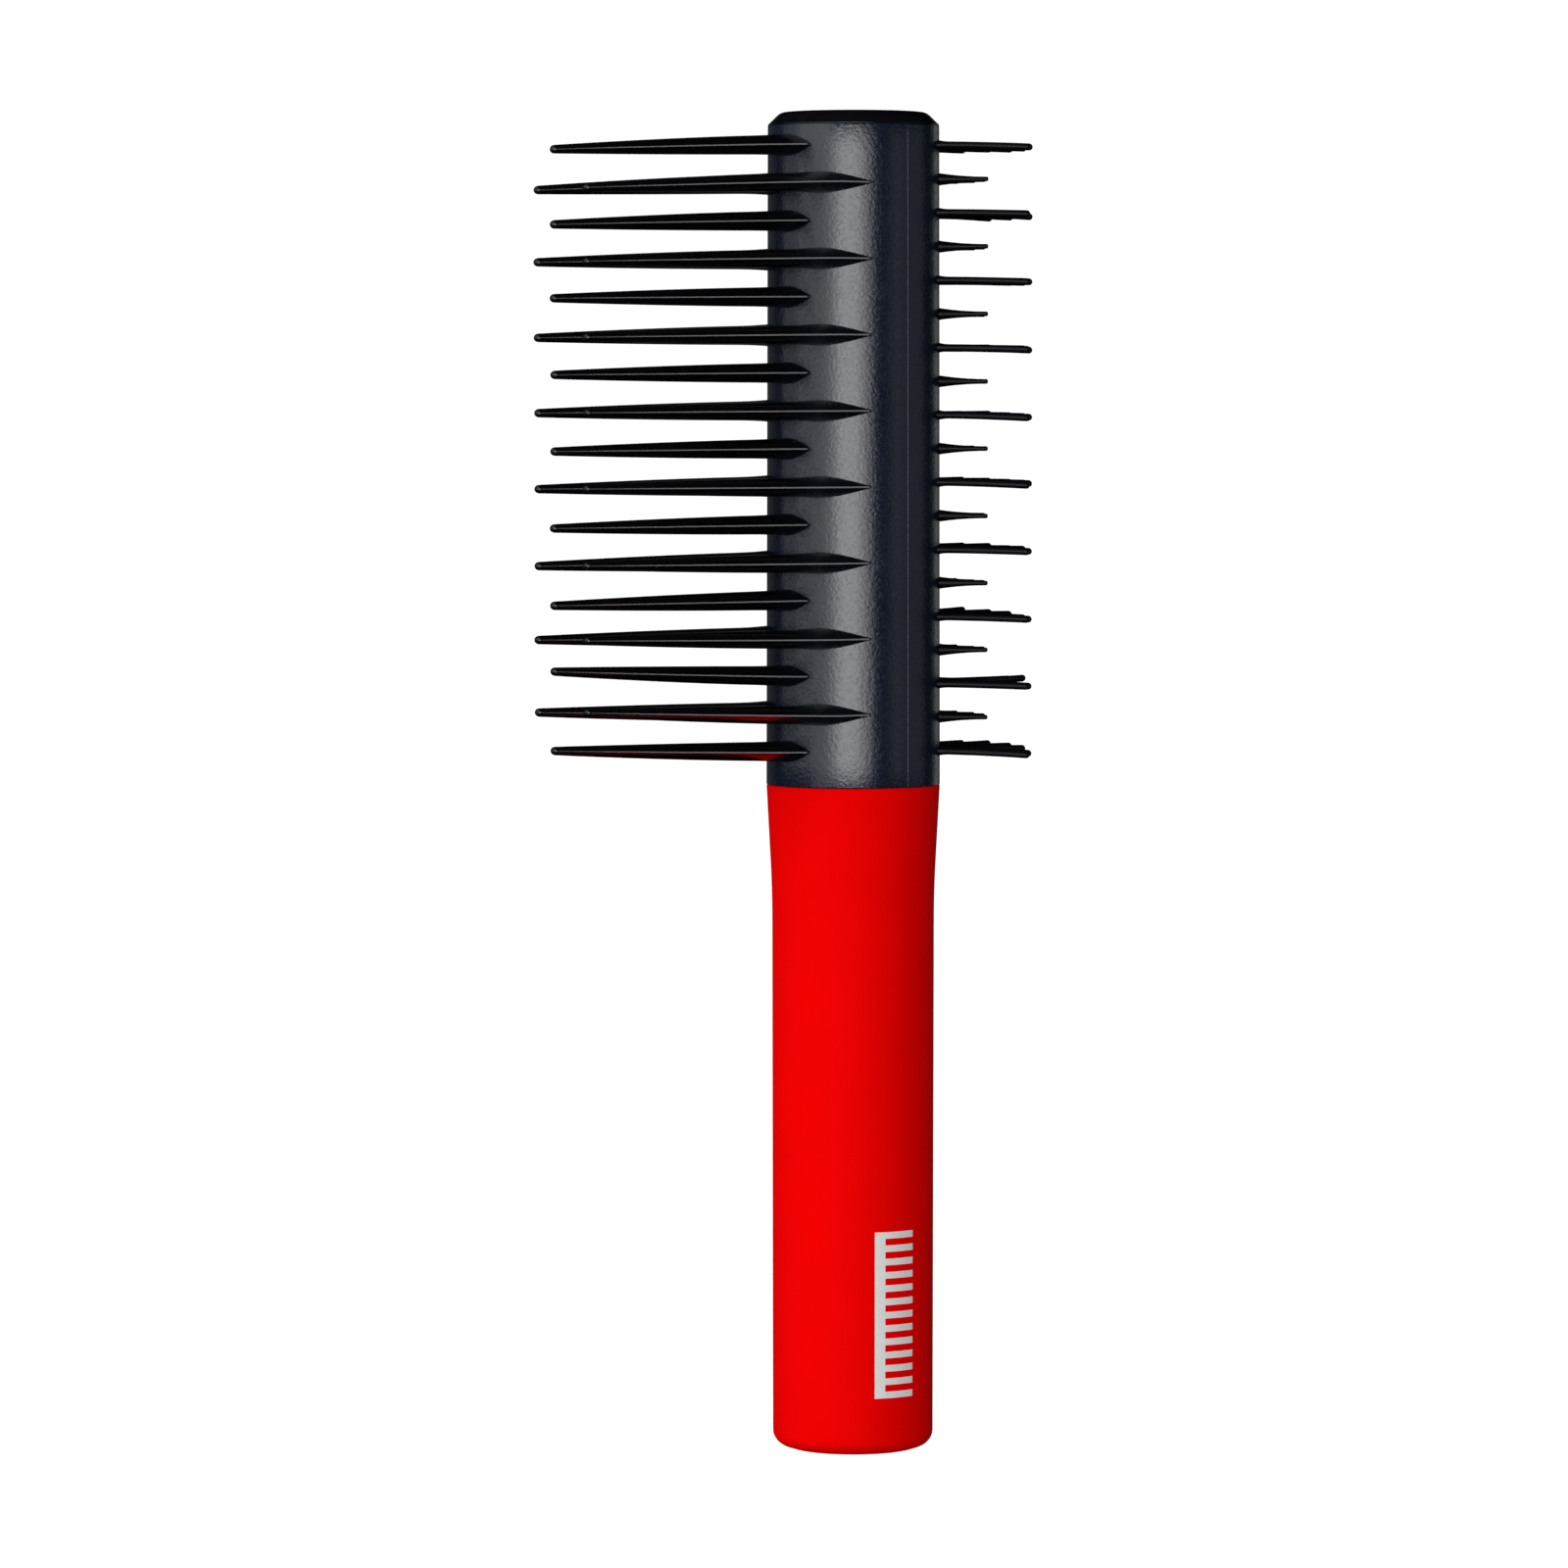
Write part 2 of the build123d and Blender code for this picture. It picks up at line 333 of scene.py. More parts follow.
def satin_barrel():
    """Moulded plastic with a fine spark-eroded grain, nearly black with a blue cast."""
    nodes = Nodes("satin_barrel")
    grain = nodes.noise(0.6, detail=1.5, roughness=0.6)
    cloud = nodes.noise(9.0)
    darker, lighter = (0.0055, 0.0110, 0.0270), (0.0070, 0.0130, 0.0310)
    nodes.feed("Base Color", nodes.colour(nodes.spread(cloud, 0, 1), darker, lighter))
    rough = nodes.add(nodes.spread(grain, -0.06, 0.06), nodes.spread(cloud, 0.225, 0.25))
    nodes.feed("Roughness", rough)
    nodes.bump(grain, 0.055)
    nodes.specular_level(0.73)
    return nodes.material


def polished_black(name, base, roughness, grain_size, depth, level=0.5):
    """Smooth black nylon: faint flow marks, slight roughness changes and fine handling marks."""
    nodes = Nodes(name)
    flow = nodes.noise(4.0, stretch=(0.25, 1.0, 1.0))
    grain = nodes.noise(grain_size)
    marks = nodes.noise(0.5, detail=4.0, stretch=(0.15, 1.0, 1.0))
    lighter = tuple(channel * 1.5 for channel in base)
    nodes.feed("Base Color", nodes.colour(nodes.spread(flow, 0, 1), base, lighter))
    rough = nodes.add(
        nodes.spread(flow, roughness, roughness + 0.05), nodes.spread(marks, -0.02, 0.03)
    )
    nodes.feed("Roughness", rough)
    nodes.bump(grain, depth)
    nodes.specular_level(level)
    return nodes.material


# A pale colour and a rougher finish painted along each tooth's front edge: a painted highlight for
# the light that edge catches.
RIDGE_HIGHLIGHT_PAINT = (0.21, 0.215, 0.225)
RIDGE_HIGHLIGHT_ROUGHNESS = 0.4


def polished_teeth():
    """The black nylon of the teeth, with a pale, rougher painted highlight along each edge."""
    material = polished_black("polished_teeth", (0.003, 0.003, 0.004), 0.17, 0.6, 0.004)
    tree = material.node_tree
    shader = tree.nodes["Principled BSDF"]
    # Each face's strength of the painted highlight, read from the mesh, mixes the pale colour and its
    # roughness over the nylon's.
    line = tree.nodes.new("ShaderNodeAttribute")
    line.attribute_name = "painted_highlight_strength"
    colour = tree.nodes.new("ShaderNodeMix")
    colour.data_type = "RGBA"
    colour.inputs[COLOUR_B].default_value = (*RIDGE_HIGHLIGHT_PAINT, 1)
    rough = tree.nodes.new("ShaderNodeMix")
    rough.inputs[FLOAT_B].default_value = RIDGE_HIGHLIGHT_ROUGHNESS
    for mix, first, result, name in (
        (colour, COLOUR_A, COLOUR_RESULT, "Base Color"),
        (rough, FLOAT_A, FLOAT_RESULT, "Roughness"),
    ):
        socket = shader.inputs[name]
        tree.links.new(line.outputs["Fac"], mix.inputs[FACTOR])
        tree.links.new(socket.links[0].from_socket, mix.inputs[first])
        tree.links.new(mix.outputs[result], socket)
    return material


def soft_touch_red():
    """A matte red coating: fine powdery grain and slight polish where it is held."""
    nodes = Nodes("soft_touch_red")
    grain = nodes.noise(0.16, detail=3.0, roughness=0.65)
    cloud = nodes.noise(14.0)
    held = nodes.noise(30.0, detail=1.0)
    darker, lighter = (0.90, 0.0002, 0.0003), (0.94, 0.0003, 0.0004)
    nodes.feed("Base Color", nodes.colour(nodes.spread(cloud, 0, 1), darker, lighter))
    rough = nodes.add(nodes.spread(held, 0.60, 0.68), nodes.spread(grain, -0.04, 0.05))
    nodes.feed("Roughness", rough)
    nodes.bump(grain, 0.012)
    nodes.specular_level(0.008)
    return nodes.material


def printed_white():
    """Pad-printed ink: nearly even, a little thin in places."""
    nodes = Nodes("printed_white")
    thin = nodes.noise(0.35, detail=4.0)
    thinner, thicker = (0.80, 0.70, 0.69), (0.86, 0.86, 0.85)
    nodes.feed("Base Color", nodes.colour(nodes.spread(thin, 0, 1, 0.25, 0.45), thinner, thicker))
    nodes.feed("Roughness", nodes.spread(thin, 0.42, 0.55))
    nodes.bump(thin, 0.006)
    nodes.specular_level(0.3)
    return nodes.material


def inner_plastic(name, base, roughness):
    """Plain moulded plastic or rubber of the pieces inside."""
    nodes = Nodes(name)
    cloud = nodes.noise(6.0)
    grain = nodes.noise(0.3, detail=3.0)
    lighter = tuple(channel * 1.3 for channel in base)
    nodes.feed("Base Color", nodes.colour(nodes.spread(cloud, 0, 1), base, lighter))
    nodes.feed("Roughness", nodes.spread(grain, roughness - 0.05, roughness + 0.08))
    nodes.bump(grain, 0.02)
    return nodes.material


BARREL = satin_barrel()
CAP = polished_black("polished_cap", (0.004, 0.004, 0.006), 0.16, 0.5, 0.004)
TEETH = polished_teeth()
PINS = polished_black("smooth_pins", (0.003, 0.003, 0.005), 0.34, 0.4, 0.003, level=0.16)
GRIP = soft_touch_red()
MARK = printed_white()
PAD = inner_plastic("pad_rubber", (0.015, 0.015, 0.017), 0.7)
INNER = inner_plastic("inner_plastic", (0.03, 0.03, 0.032), 0.5)


# ---- The barrel's shells ----

SHELL_EDGE = 0.2  # rounding of the edges at a shell's two ends
SEAM_EDGE = 0.1  # rounding of its edges along the seams
EDGE_STEPS = 4
EDGE_TURNS = (0, 30, 60)
SHELL_STATIONS = 24
SHELL_STEP = 1.5  # degrees between the points of its outer arc


def rounded_edge(turn, radius):
    """How far back and how far down the rounding of an edge is at a turn in degrees."""
    swing = math.radians(turn)
    return radius * (1 - math.cos(swing)), radius * (1 - math.sin(swing))


def shell_section(start, end, radius, height):
    """A closed loop across a shell: the outer arc with rounded ends, then the inner one."""
    inside = BARREL_TOP - SHELL_WALL
    arc_steps = int((end - start) / SHELL_STEP)
    edge_turn = math.degrees(SEAM_EDGE / radius)
    loop = []
    for k in range(EDGE_STEPS):
        back, drop = rounded_edge(90 * k / EDGE_STEPS, SEAM_EDGE)
        loop.append((start + edge_turn * back / SEAM_EDGE, radius - drop))
    for k in range(arc_steps + 1):
        loop.append((start + edge_turn + (end - start - 2 * edge_turn) * k / arc_steps, radius))
    for k in reversed(range(EDGE_STEPS)):
        back, drop = rounded_edge(90 * k / EDGE_STEPS, SEAM_EDGE)
        loop.append((end - edge_turn * back / SEAM_EDGE, radius - drop))
    loop += [(angle, inside) for angle, _ in reversed(loop)]
    return [(r * math.cos(math.radians(a)), r * math.sin(math.radians(a)), height) for a, r in loop]


def shell(name, start, end, node):
    """One shell of the barrel between two angles, its outer edges rounded."""
    rounding = [rounded_edge(turn, SHELL_EDGE) for turn in EDGE_TURNS]
    stations = [(HANDLE_TOP + back, BARREL_BOTTOM - drop) for back, drop in rounding]
    for i in range(SHELL_STATIONS + 1):
        share = i / SHELL_STATIONS
        z = HANDLE_TOP + SHELL_EDGE + (CAP_SEAT - HANDLE_TOP - 2 * SHELL_EDGE) * share
        stations.append((z, BARREL_BOTTOM + (BARREL_TOP - BARREL_BOTTOM) * share))
    stations += [(CAP_SEAT - back, BARREL_TOP - drop) for back, drop in reversed(rounding)]
    points = []
    for height, radius in stations:
        points += shell_section(start, end, radius, height)
    size = len(points) // len(stations)
    faces = tube_faces(len(stations), size)
    del faces[-2:]  # its ends are rows of quads instead of one long face
    for ring in (0, len(stations) - 1):
        first = ring * size
        last = first + size - 1
        for k in range(size // 2 - 1):
            faces.append((first + k, first + k + 1, last - k - 1, last - k))
    return make_piece(name, points, faces, BARREL, [node])


tooth_side = SEAM_ANGLE + SEAM_HALF_GAP
pin_side = SEAM_ANGLE - SEAM_HALF_GAP
shell("barrel_tooth_side", tooth_side, 360 - tooth_side, "tooth_shell")
shell("barrel_pin_side", -pin_side, pin_side, "pin_shell")


# ---- End cap ----

CAP_CORNER = 2.0  # rounding of the corner between its chamfer and its face
CAP_SEGMENTS = 128


def end_cap():
    """The chamfered cap, its edges softly rounded, with its lip inside the shells."""
    lip_outside = BARREL_TOP - SHELL_WALL - PART_GAP
    lip_inside = lip_outside - CAP_LIP_WALL
    outline = round_corners(
        [
            (0, CAP_SEAT, 0),
            (lip_inside, CAP_SEAT, 0.1),
            (lip_inside, CAP_SEAT - CAP_LIP_HEIGHT, 0.15),
            (lip_outside, CAP_SEAT - CAP_LIP_HEIGHT, 0.15),
            (lip_outside, CAP_SEAT, 0.1),
            (BARREL_TOP, CAP_SEAT, 0.06),
            (BARREL_TOP, CAP_SEAT + 0.15, 0.12),
            (CAP_FACE_RADIUS, TOTAL, CAP_CORNER),
            (0, TOTAL, 0),
        ]
    )
    points, faces = lathe_points(outline, CAP_SEGMENTS)
    return make_piece("end_cap", points, faces, CAP, ["head_cap"])


end_cap()


# ---- Combs of blade teeth ----

SIDE_STEPS = 12  # points across one side of a tooth
EDGE_LAND = 0.13  # half the height of the flat along a tooth's edge, at the root
EDGE_LAND_TIP = 0.06
THICKNESS_POWER = 1.55  # 1 thins a tooth evenly, and more keeps it thick for longer
NEAR_ROOT_REACHES = (0.0, 0.8, 1.8, 3.0, 4.6, FLARE_LENGTH)
LENGTH_STEPS = 14
TIP_TURNS = (15, 30, 45, 60, 72, 82)

# How strongly the pale painted highlight shows along a tooth's edge
HIGHLIGHT_AT_ROOT = 0.15
HIGHLIGHT_AT_TIP = 0.1
HIGHLIGHT_SETBACK = 0.8  # how far from the barrel its full strength starts
HIGHLIGHT_FADE = 14.0  # how far from the tip it starts to fade

# How far each tooth's tip has bent up, from the top row down
MIDDLE_RISES = (-1.9, -1.4, -0.6, -0.5, -0.2, -0.1, -0.05, 2.05, 1.6)
FRONT_RISES = (-1.9, -1.15, -0.75, -0.25, 0.05, 0.3, 0.8, 1.75)
BACK_RISES = (-1.95, -1.0, -0.7, -0.35, -0.1, 0.0, 0.45, 1.35)
BEND_POWER = 1.15  # 1 leans a tooth from its root, and more curls it towards its tip
BEND_SPREAD = 0.08  # how far a tip may stray up or down from its row's rise
SWING_SPREAD = 0.12  # and how far to either side


def blade_section(half_width, half_height, land, fullness):
    """A lens with flats along its edges, as (across, up) points.

    With a fullness of 1 its edges are thin, and with 0.5 it is an ellipse.
    """
    upper = []
    for k in range(SIDE_STEPS + 1):
        turn = math.pi * k / SIDE_STEPS
        up = land + (half_height - land) * max(0.0, math.sin(turn)) ** (2 * fullness)
        upper.append((half_width * math.cos(turn), up))
    return upper + [(across, -up) for across, up in reversed(upper)]


def tooth(offset, root_half_width, height, rise, swing):
    """One blade tooth: rings from its heel on the rail to its rounded tip.

    rise and swing are how far its tip has bent up and sideways.  The last value it gives
    back is the strength of the painted highlight on each face.
    """
    root_x = -math.sqrt(BARREL_RADIUS ** 2 - offset ** 2)
    inside = root_x - RAIL_FRONT
    dome = TIP_HALF_HEIGHT
    straight = TOOTH_LENGTH - dome
    heel_height = ROOT_HALF_HEIGHT * (1 - HEEL_BEVEL / root_half_width)
    rings = [
        (inside, root_half_width - HEEL_BEVEL, heel_height, EDGE_LAND, 1.0),
        (inside + HEEL_BEVEL, root_half_width, ROOT_HALF_HEIGHT, EDGE_LAND, 1.0),
    ]
    outer_edge = abs(offset) + root_half_width
    surfacing = root_x + math.sqrt(BARREL_RADIUS ** 2 - outer_edge ** 2)
    line_start = surfacing + HIGHLIGHT_SETBACK
    reaches = [surfacing, line_start, line_start / 2, *NEAR_ROOT_REACHES]
    step = (straight - FLARE_LENGTH) / LENGTH_STEPS
    reaches += [FLARE_LENGTH + step * k for k in range(1, LENGTH_STEPS + 1)]
    for reach in reaches:
        share = max(reach, 0.0) / straight
        flare = FLARE_THICKENING * max(0.0, 1 - share * straight / FLARE_LENGTH) ** 2
        half_width = root_half_width + (TIP_HALF_WIDTH - root_half_width) * share
        thinning = ROOT_HALF_HEIGHT - FLARE_THICKENING - TIP_HALF_HEIGHT
        half_height = TIP_HALF_HEIGHT + thinning * (1 - share ** THICKNESS_POWER) + flare
        land = EDGE_LAND + (EDGE_LAND_TIP - EDGE_LAND) * share
        rings.append((reach, half_width, half_height, land, 1 - 0.5 * share ** 4))
    for turn in TIP_TURNS:
        scale = math.cos(math.radians(turn))
        reach = straight + dome * math.sin(math.radians(turn))
        size_there = (TIP_HALF_WIDTH * scale, TIP_HALF_HEIGHT * scale, EDGE_LAND_TIP * scale)
        rings.append((reach, *size_there, 0.5))
    points = []
    for reach, half_width, half_height, land, fullness in rings:
        bend = (max(reach, 0.0) / TOOTH_LENGTH) ** BEND_POWER
        for across, up in blade_section(half_width, half_height, land, fullness):
            points.append((root_x - reach, offset + across + swing * bend, height + up + rise * bend))
    size = 2 * (SIDE_STEPS + 1)
    lines = []
    # The painted highlight: faint where the tooth leaves the barrel, full along its length, fading
    # towards the tip; the end faces get none.
    for reach, *_ in rings[:-1]:
        fade = min(1.0, max(0.0, (TOOTH_LENGTH - reach) / HIGHLIGHT_FADE))
        line = HIGHLIGHT_AT_ROOT if reach < line_start else HIGHLIGHT_AT_TIP + (1 - HIGHLIGHT_AT_TIP) * fade
        lines += [line if k in (SIDE_STEPS, size - 1) else 0.0 for k in range(size)]
    end_faces = [0.0, 0.0]
    return points, tube_faces(len(rings), size), lines + end_faces


def comb(node, offset, root_half_width, heights, rises, seed):
    """A comb: its rail inside the barrel and its teeth, each bent a little."""
    wander = random.Random(seed)
    low = (RAIL_FRONT, offset - RAIL_WIDTH / 2, RAIL_BOTTOM)
    high = (RAIL_FRONT + RAIL_THICKNESS, offset + RAIL_WIDTH / 2, RAIL_TOP)
    points, faces = box_part(low, high)
    # The rail carries no painted highlight.
    lines = [0.0] * len(faces)
    for height, rise in zip(heights, rises):
        swing = wander.uniform(-SWING_SPREAD, SWING_SPREAD)
        bent = rise + wander.uniform(-BEND_SPREAD, BEND_SPREAD)
        *shape, tooth_lines = tooth(offset, root_half_width, height, bent, swing)
        add_part(points, faces, *shape)
        lines += tooth_lines
    return make_piece(f"{node}_teeth", points, faces, TEETH, [node], lines)


comb("comb_middle", 0.0, ROOT_HALF_WIDTH_MIDDLE, TOOTH_HEIGHTS[0::2], MIDDLE_RISES, 3)
comb("comb_front", -COMB_OFFSET, ROOT_HALF_WIDTH_OUTER, TOOTH_HEIGHTS[1::2], FRONT_RISES, 5)
comb("comb_back", COMB_OFFSET, ROOT_HALF_WIDTH_OUTER, TOOTH_HEIGHTS[1::2], BACK_RISES, 7)


# ---- Pins ----

PIN_SEGMENTS = 16
PIN_BEND_POWER = 1.6  # more than 1 curls a pin towards its tip
STEM_SUNK = 0.35  # how far below the barrel's surface a pin's root starts to shape
FOOT_STEP = 0.02  # length of the step between a pin's foot and its stem
STEM_SURPLUS = 0.02  # how much thicker a long pin is below the surface than at its root

ROOT_STEPS = 6
STEM_STEPS = 8
TIP_STEPS = 6
SHORT_STEM_STEPS = 14
ROOT_BLEND_POWER = 2.2  # how quickly a long pin's root narrows
SHORT_TAPER_POWER = 2.0
BLUNT_TIP = 0.7  # how far a short pin's tip stands out, in its tip radii
BLUNT_TIP_SHAPE = ((0.92, 0.35), (0.75, 0.65), (0.45, 0.9), (0.1, 1.0))

# How far pins are bent at their tips
PIN_LEAN = 0.009  # up, for each degree round towards the back
PIN_GATHER = 0.005  # inwards, for each degree from the middle
PIN_TURN_SPREAD = 0.2
PIN_SPLAY = (0.12, 0.5, 0.12, 0.12, 0.12, 0.12, 0.15, 0.35, 0.9, 0.35)  # by row, from the top
SHORT_PIN_RISE_SPREAD = 0.07
SHORT_PIN_TURN_SPREAD = 0.06


def pin(outline, height, angle, bend_up, bend_round):
    """One pin from its outline (reach, radius), bent beyond the barrel's surface."""
    turn = math.radians(angle)
    outward = Vector((math.cos(turn), math.sin(turn), 0))
    sideways = Vector((-math.sin(turn), math.cos(turn), 0))
    free = outline[-1][0] - BARREL_RADIUS
    points = []
    for reach, radius in outline:
        bend = (max(0.0, reach - BARREL_RADIUS) / free) ** PIN_BEND_POWER
        middle = outward * reach + sideways * bend_round * bend
        middle.z = height + bend_up * bend
        for k in range(PIN_SEGMENTS):
            around = 2 * math.pi * k / PIN_SEGMENTS
            up = Vector((0, 0, math.sin(around) * radius))
            points.append(tuple(middle + sideways * math.cos(around) * radius + up))
    return points, tube_faces(len(outline), PIN_SEGMENTS)


def pin_foot(root_radius):
    """The hidden foot of a pin and its stem up to the barrel's surface."""
    return [
        (PIN_FOOT_BOTTOM, PIN_FOOT_RADIUS),
        (PIN_FOOT_TOP, PIN_FOOT_RADIUS),
        (PIN_FOOT_TOP + FOOT_STEP, root_radius),
        (BARREL_RADIUS - STEM_SUNK, root_radius),
    ]


def long_pin_outline():
    """Foot, root that blends into the stem, straight stem, round tip."""
    outline = pin_foot(LONG_PIN_ROOT_RADIUS + STEM_SURPLUS)
    for k in range(ROOT_STEPS + 1):
        share = k / ROOT_STEPS
        fade = (1 - share) ** ROOT_BLEND_POWER
        radius = LONG_PIN_RADIUS + (LONG_PIN_ROOT_RADIUS - LONG_PIN_RADIUS) * fade
        outline.append((BARREL_RADIUS + LONG_PIN_ROOT_LENGTH * share, radius))
    stem_start = BARREL_RADIUS + LONG_PIN_ROOT_LENGTH
    stem_end = LONG_PIN_REACH - LONG_PIN_RADIUS
    for k in range(1, STEM_STEPS + 1):
        outline.append((stem_start + (stem_end - stem_start) * k / STEM_STEPS, LONG_PIN_RADIUS))
    return outline + arc((stem_end, 0), LONG_PIN_RADIUS, 75, 5, TIP_STEPS)


def short_pin_outline():
    """Foot, stout root, hollow taper, blunt tip."""
    outline = pin_foot(SHORT_PIN_ROOT_RADIUS)
    tip_length = SHORT_PIN_TIP_RADIUS * BLUNT_TIP
    stem_end = SHORT_PIN_REACH - tip_length
    for k in range(SHORT_STEM_STEPS + 1):
        share = k / SHORT_STEM_STEPS
        fade = (1 - share) ** SHORT_TAPER_POWER
        radius = SHORT_PIN_TIP_RADIUS + (SHORT_PIN_ROOT_RADIUS - SHORT_PIN_TIP_RADIUS) * fade
        outline.append((BARREL_RADIUS + (stem_end - BARREL_RADIUS) * share, radius))
    for across, along in BLUNT_TIP_SHAPE:
        outline.append((stem_end + tip_length * along, SHORT_PIN_TIP_RADIUS * across))
    return outline


def pin_angles(columns, spacing):
    """Where the columns of pins stand round the barrel, centred on +X."""
    return [(column - (columns - 1) / 2) * spacing for column in range(columns)]


def long_pins():
    """Every long pin, a little bent, with the pins of some rows splayed."""
    points, faces = [], []
    outline = long_pin_outline()
    wander = random.Random(11)
    for height, splay in zip(PIN_HEIGHTS[0::2], PIN_SPLAY):
        for angle in pin_angles(LONG_PIN_COLUMNS, LONG_PIN_SPACING):
            up = wander.uniform(-splay, splay) + PIN_LEAN * angle
            turned = wander.uniform(-PIN_TURN_SPREAD, PIN_TURN_SPREAD) - PIN_GATHER * angle
            add_part(points, faces, *pin(outline, height, angle, up, turned))
    return make_piece("pins_long", points, faces, PINS, ["long_pins"])


def short_pins():
    """Every short pin, nearly straight."""
    points, faces = [], []
    outline = short_pin_outline()
    wander = random.Random(17)
    for height in PIN_HEIGHTS[1::2]:
        for angle in pin_angles(SHORT_PIN_COLUMNS, SHORT_PIN_SPACING):
            up = wander.uniform(-SHORT_PIN_RISE_SPREAD, SHORT_PIN_RISE_SPREAD)
            turned = wander.uniform(-SHORT_PIN_TURN_SPREAD, SHORT_PIN_TURN_SPREAD)
            add_part(points, faces, *pin(outline, height, angle, up, turned))
    return make_piece("pins_short", points, faces, PINS, ["short_pins"])


long_pins()
short_pins()


# ---- Grip sleeve and its printed mark ----

GRIP_SEGMENTS = 160
EDGE_POINTS = 12
SIDE_POINTS = 12
BLEND_POINTS = 8
FLARE_POINTS = 5
RIM_POINTS = 5
RIM_ROUNDING = 0.3
RIM_SETBACK = 0.02  # how far the rim's edge stays inside the barrel's
END_FACE_RING = 6.0  # a ring of points that keeps the end face's triangles short


def grip_outline():
    """From the middle of the end face, up the outside, over the top and down the bore."""
    flare_start = HANDLE_TOP - GRIP_FLARE_LENGTH
    blend_start = flare_start - GRIP_BLEND_LENGTH
    slope = (BARREL_BOTTOM - GRIP_FLARE_RADIUS) / GRIP_FLARE_LENGTH
    corner = flare_start - (GRIP_FLARE_RADIUS - GRIP_RADIUS) / slope
    bore = GRIP_RADIUS_BOTTOM - GRIP_WALL + PART_GAP
    edge_round = GRIP_EDGE_RADIUS - GRIP_FOOT_HEIGHT
    edge_centre = (GRIP_RADIUS_BOTTOM - edge_round, GRIP_EDGE_RADIUS)
    rim_centre = (BARREL_BOTTOM - RIM_ROUNDING - RIM_SETBACK, HANDLE_TOP - RIM_ROUNDING)
    outline = [(0, 0), (END_FACE_RING, 0), (GRIP_RADIUS_BOTTOM - GRIP_EDGE_RADIUS, 0)]
    outline += arc(edge_centre, edge_round, -90, 0, EDGE_POINTS)
    for k in range(1, SIDE_POINTS + 1):
        share = k / SIDE_POINTS
        z = GRIP_EDGE_RADIUS + (blend_start - GRIP_EDGE_RADIUS) * share
        outline.append((GRIP_RADIUS_BOTTOM + (GRIP_RADIUS - GRIP_RADIUS_BOTTOM) * share, z))
    for k in range(1, BLEND_POINTS + 1):
        t = k / BLEND_POINTS
        start, middle, end = (1 - t) ** 2, 2 * t * (1 - t), t * t
        r = GRIP_RADIUS * (start + middle) + GRIP_FLARE_RADIUS * end
        outline.append((r, blend_start * start + corner * middle + flare_start * end))
    for k in range(1, FLARE_POINTS):
        rise = GRIP_FLARE_LENGTH * k / FLARE_POINTS
        outline.append((GRIP_FLARE_RADIUS + slope * rise, flare_start + rise))
    outline += arc(rim_centre, RIM_ROUNDING, 0, 90, RIM_POINTS)
    return outline + [(bore, HANDLE_TOP), (bore, GRIP_WALL), (0, GRIP_WALL)]


grip_points, grip_faces = lathe_points(grip_outline(), GRIP_SEGMENTS)
make_piece("grip", grip_points, grip_faces, GRIP, ["grip_sleeve"])

MARK_ANGLE = -97.0
MARK_BOTTOM = 10.4
MARK_HEIGHT = 29.8
MARK_WIDTH = 8.0
MARK_BACK_WIDTH = 2.0
MARK_TEETH = 13
MARK_PROUD = 0.02
MARK_SUNK = 0.05
MARK_STEP = 0.5  # distance between its points round the grip


def printed_patch(low_across, high_across, low, high):
    """A thin curved plate of ink between two distances round the grip and two heights."""
    points, faces = [], []
    across_steps = max(1, int((high_across - low_across) / MARK_STEP))
    for z in (low, high):
        share = z / (HANDLE_TOP - GRIP_FLARE_LENGTH - GRIP_BLEND_LENGTH)
        surface = GRIP_RADIUS_BOTTOM + (GRIP_RADIUS - GRIP_RADIUS_BOTTOM) * share
        for k in range(across_steps + 1):
            across = low_across + (high_across - low_across) * k / across_steps
            turn = math.radians(MARK_ANGLE) + across / surface
            for radius in (surface + MARK_PROUD, surface - MARK_SUNK):
                points.append((radius * math.cos(turn), radius * math.sin(turn), z))
    row = 2 * (across_steps + 1)
    for k in range(across_steps):
        a, b = 2 * k, 2 * (k + 1)
        faces.append((a, b, row + b, row + a))
        faces.append((a + 1, row + a + 1, row + b + 1, b + 1))
        faces.append((a, a + 1, b + 1, b))
        faces.append((row + a, row + b, row + b + 1, row + a + 1))
    faces.append((0, row, row + 1, 1))
    faces.append((row - 2, row - 1, 2 * row - 1, 2 * row - 2))
    return points, faces


def printed_mark():
    """A plain comb pictogram: a back along the handle and a row of teeth."""
    points, faces = [], []
    left, right = -MARK_WIDTH / 2, MARK_WIDTH / 2
    inner = left + MARK_BACK_WIDTH
    add_part(points, faces, *printed_patch(left, inner, MARK_BOTTOM, MARK_BOTTOM + MARK_HEIGHT))
    pitch = MARK_HEIGHT / (MARK_TEETH - 0.5)
    for i in range(MARK_TEETH):
        low = MARK_BOTTOM + i * pitch
        add_part(points, faces, *printed_patch(inner, right, low, low + pitch / 2))
    return make_piece("printed_mark", points, faces, MARK)


printed_mark()


# ---- CAD nodes that stay, inside ----

INSIDE = {"pin_pad": PAD, "pad_backing": INNER, "spine": INNER, "handle_core": INNER}
for node, material in INSIDE.items():
    for material_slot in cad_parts[node].material_slots:
        material_slot.material = material


# ---- Camera ----

azimuth = math.radians(VIEW_AZIMUTH)
toward_camera = Vector((math.sin(azimuth), -math.cos(azimuth), 0))
right_of_view = Vector((math.cos(azimuth), math.sin(azimuth), 0))

